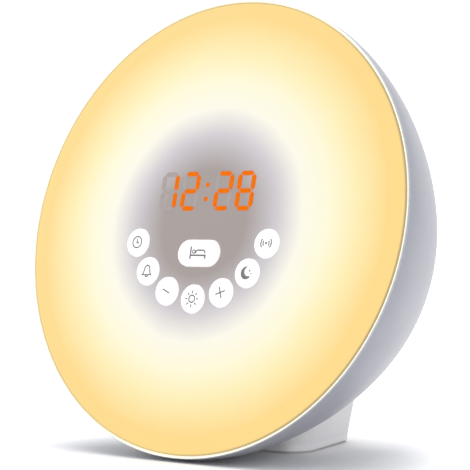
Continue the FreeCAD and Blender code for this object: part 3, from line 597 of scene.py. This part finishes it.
def bell_sign():
    """A half circle on two flared sides, an arc below for the clapper and a short stem on top."""
    flare = np.array([(-2.1, -1.45), (-1.6, -0.7), (-1.2, 0.9)])
    top = arc(0, 0.9, 1.2, 180, 0, 12)[1:-1]
    marks = stroke(np.concatenate([flare, top, flare[::-1] * (-1, 1)]), closed=True)
    marks += stroke(arc(0, -1.5, 0.7, 200, 340, 7))
    return marks + stroke([(0, 2.1), (0, 2.5)])


def minus_sign():
    """One level line."""
    return stroke([(-1.9, 0), (1.9, 0)])


def plus_sign():
    """A level line and two upright ones that start at its edges."""
    arm, edge = 2.25, LINE / 2
    return stroke([(-arm, 0), (arm, 0)]) + stroke([(0, -arm), (0, -edge)]) + stroke([(0, edge), (0, arm)])


def sun_sign():
    """A ring with eight rays, one each 45 degrees."""
    marks = stroke(circle(0, 0, 1.35, 26), closed=True)
    for inner, outer in zip(circle(0, 0, 2.1, 8), circle(0, 0, 3.1, 8)):
        marks += stroke([inner, outer])
    return marks


def moon_sign():
    """A crescent between an outer and an inner arc, filled step by step, and two small stars."""
    outer = arc(-0.2, 0, 2.4, 70, 325, 22)
    inner = arc(0.75, 0.55, 1.75, 100, 290, 22)
    marks = list(np.stack([outer[:-1], outer[1:], inner[1:], inner[:-1]], axis=1))
    line = 0.28
    for x, y, size in ((1.3, 0.9, 0.42), (2.1, -0.3, 0.3)):
        marks += stroke([(x - size, y), (x + size, y)], line)
        marks += stroke([(x, y - size), (x, y - line / 2)], line)
        marks += stroke([(x, y + line / 2), (x, y + size)], line)
    return marks


def radio_sign():
    """A dot with two arcs to each side."""
    marks = [circle(0, 0, 0.5, 16)]
    for radius in (1.35, 2.35):
        marks += stroke(arc(0, 0, radius, -42, 42, 10))
        marks += stroke(arc(0, 0, radius, 138, 222, 10))
    return marks


def bed_sign():
    """Two posts, a level frame between them, a ring for the head and a rounded blanket."""
    post, thin, thick = 0.65, 0.45, 0.55
    marks = stroke([(-3.5, 2.4), (-3.5, -2.4)], post)
    marks += stroke([(-3.15, -1.0), (3.15, -1.0)], post) + stroke([(3.5, -2.4), (3.5, -0.65)], post)
    marks += stroke(circle(-2.0, 0.4, 0.62, 18), thin, closed=True)
    pillow_side, foot_side = arc(-0.4, 0.35, 0.6, 180, 90, 6), arc(2.4, 0.15, 0.8, 90, 0, 6)
    blanket = np.concatenate([[(-1.0, -0.25)], pillow_side, foot_side, [(3.2, -0.25)]])
    return marks + stroke(blanket, thick)


# %% [markdown]
# A table gives each sign its place on the face and its turn in degrees. Each cap's top stands
# CAP_PROUD over the dome at the cap's middle, so the sign lies at that height. It rides its cap's
# body, and its ink is a plain grey.

# %% Print the signs
CAP_SIGNS = {"clock": (clock_sign, -30.57, -7.61, 0.0), "alarm": (bell_sign, -23.6, -18.7, 0.0),
             "minus": (minus_sign, -12.84, -26.17, -23.0), "light": (sun_sign, 0.0, -28.8, 0.0),
             "plus": (plus_sign, 12.84, -26.17, 20.0), "sleep": (moon_sign, 23.6, -18.7, 0.0),
             "radio": (radio_sign, 30.57, -7.61, 0.0), "snooze": (bed_sign, 0.0, -11.5, 0.0)}
CAP_PROUD = 0.602
INK_THICK = 0.03
INK = from_screen(122, 118, 120)


def level(height):
    """A surface with the same height everywhere."""
    return lambda x, y: np.full(len(x), height)


ink = moulded("sign_ink", INK, 0.55, grain=0.3, depth=0.004, vary=0.05)[0]
for key, (sign, x, y, degrees) in CAP_SIGNS.items():
    turn = math.radians(degrees)
    turned = np.array([[math.cos(turn), math.sin(turn)], [-math.sin(turn), math.cos(turn)]])
    outlines = [np.asarray(outline) @ turned + (x, y) for outline in sign()]
    cap_top = crown(x, y) + CAP_PROUD
    lay_marks("sign_" + key, outlines, level(cap_top), ink, "key_" + key, INK_THICK)
    print("sign", key, "shapes", len(outlines), "height", round(cap_top, 2), "mm")

# %% [markdown]
# A product picture like this one has a white floor that runs into a white wall, with no line
# between them. Lamps strong enough to make the floor white would bleach the clock, so the floor also
# gives off light of its own, which only rays from the camera, from a gloss or through a clear
# surface can see. It shows in the clock's gloss but adds no soft light to it. It is a little
# stronger higher up, and weaker in the crease under the foot, so that a contact shadow stays.


# %% Floor and backdrop
FLOOR_HALF_WIDTH, FLOOR_FRONT, FLOOR_BACK = 3.0, -1.6, 1.0
CURVE_RADIUS, WALL_TOP = 0.5, 1.6
FLOOR_PAINT, FLOOR_ROUGHNESS, FLOOR_SPECULAR = 0.90, 0.6, 0.2
GLOW_LOW, GLOW_HIGH, GLOW_FULL_AT = 0.50, 0.62, 0.4
CREASE_REACH, CREASE_POWER, CREASE_SAMPLES = 0.038, 2.2, 8


def stage_mesh():
    """A profile carried sideways: flat, then a quarter circle, then upright."""
    turn = np.linspace(0, math.pi / 2, 17)
    curve_y, curve_z = FLOOR_BACK + CURVE_RADIUS * np.sin(turn), CURVE_RADIUS * (1 - np.cos(turn))
    y = np.concatenate([[FLOOR_FRONT], curve_y, [FLOOR_BACK + CURVE_RADIUS]])
    z = np.concatenate([[0], curve_z, [WALL_TOP]])
    points = np.zeros((len(y), 2, 3))
    points[:, 0, 0], points[:, 1, 0] = -FLOOR_HALF_WIDTH, FLOOR_HALF_WIDTH
    points[:, :, 1], points[:, :, 2] = y[:, None], z[:, None]
    row = 2 * np.arange(len(y) - 1)
    mesh = bpy.data.meshes.new("floor")
    faces = np.column_stack([row, row + 1, row + 3, row + 2])
    mesh.from_pydata(points.reshape(-1, 3).tolist(), [], faces.tolist())
    return mesh


def white_floor():
    """Matt paint plus the seen glow: a strength that rises with height, times the open share of
    the sky to a power, times one for the rays that may see it and nought for the rest."""
    material, nodes, links, shader, place = new_material("white_floor")
    shader.inputs["Base Color"].default_value = (FLOOR_PAINT, FLOOR_PAINT, FLOOR_PAINT, 1)
    shader.inputs["Roughness"].default_value = FLOOR_ROUGHNESS
    shader.inputs["Specular IOR Level"].default_value = FLOOR_SPECULAR
    path = nodes.new("ShaderNodeLightPath")
    seen = math_node(nodes, links, "MAXIMUM", path.outputs["Is Camera Ray"], path.outputs["Is Glossy Ray"])
    seen = math_node(nodes, links, "MAXIMUM", seen, path.outputs["Is Transmission Ray"])
    split = nodes.new("ShaderNodeSeparateXYZ")
    links.new(place, split.inputs[0])
    rising = nodes.new("ShaderNodeMapRange")
    rising.inputs["From Max"].default_value = GLOW_FULL_AT
    rising.inputs["To Min"].default_value = GLOW_LOW
    rising.inputs["To Max"].default_value = GLOW_HIGH
    links.new(split.outputs["Z"], rising.inputs["Value"])
    crease = nodes.new("ShaderNodeAmbientOcclusion")
    crease.samples = CREASE_SAMPLES
    crease.inputs["Distance"].default_value = CREASE_REACH
    open_sky = math_node(nodes, links, "POWER", crease.outputs["AO"], CREASE_POWER)
    strength = math_node(nodes, links, "MULTIPLY", rising.outputs["Result"], open_sky)
    glow = nodes.new("ShaderNodeEmission")
    glow.inputs["Color"].default_value = (*WHITE, 1)
    links.new(math_node(nodes, links, "MULTIPLY", seen, strength), glow.inputs["Strength"])
    add = nodes.new("ShaderNodeAddShader")
    links.new(shader.outputs[0], add.inputs[0])
    links.new(glow.outputs[0], add.inputs[1])
    links.new(add.outputs[0], nodes["Material Output"].inputs[0])
    return material


floor = bpy.data.objects.new("floor", stage_mesh())
floor.data.materials.append(white_floor())
bpy.context.scene.collection.objects.link(floor)
print("floor", 2 * FLOOR_HALF_WIDTH, "m wide, from", FLOOR_FRONT, "to", FLOOR_BACK + CURVE_RADIUS, "m")

# %% [markdown]
# Round the floor the studio is one even, slightly cool sky. It too is brighter where the camera or a
# gloss looks straight at it, so that the picture's ground stays white while the clock's shaded side
# keeps its depth. The Standard view leaves colours as they are made, which a lit sign needs.

# %% Studio sky
SKY_COLOUR = (0.93, 0.95, 1.0)
SKY_LIGHT, SKY_SHOWN = 0.45, 0.55

world = bpy.data.worlds.new("studio")
bpy.context.scene.world = world
world.use_nodes = True
nodes, links = world.node_tree.nodes, world.node_tree.links
sky = nodes["Background"]
sky.inputs["Color"].default_value = (*SKY_COLOUR, 1)
path = nodes.new("ShaderNodeLightPath")
direct = math_node(nodes, links, "MAXIMUM", path.outputs["Is Camera Ray"], path.outputs["Is Glossy Ray"])
shown = math_node(nodes, links, "MULTIPLY", direct, SKY_SHOWN)
links.new(math_node(nodes, links, "ADD", shown, SKY_LIGHT), sky.inputs["Strength"])
bpy.context.scene.view_settings.view_transform = "Standard"

# %% [markdown]
# Four soft boxes light the clock: a large one over it, one from the left front that shapes the dome,
# one from the right that lights the case's side, and a low small one that brightens the foot. Each
# line gives a place and a target in metres, a size, and a power in watts.

# %% Lamps
LAMPS = (("top_softbox", (-0.25, 0.1, 1.3), (0, 0, 0.08), (1.2, 0.9), 9.0),
         ("left_softbox", (-1.1, -0.9, 0.7), (0, 0, 0.08), (0.9, 0.9), 4.5),
         ("right_fill", (1.3, 0.0, 0.60), (0, 0, 0.1), (0.8, 0.8), 4.2),
         ("foot_fill", (0.36, -0.42, 0.035), (0, -0.02, 0.012), (0.25, 0.06), 0.42))

for name, place, aim, size, power in LAMPS:
    data = bpy.data.lights.new(name, "AREA")
    data.shape = "RECTANGLE"
    data.size, data.size_y = size
    data.energy = power
    lamp = bpy.data.objects.new(name, data)
    lamp.location = place
    lamp.rotation_mode = "QUATERNION"
    lamp.rotation_quaternion = (Vector(aim) - Vector(place)).to_track_quat("-Z", "Y")
    bpy.context.scene.collection.objects.link(lamp)
print("lamps", len(LAMPS), "with", sum(lamp[-1] for lamp in LAMPS), "W")
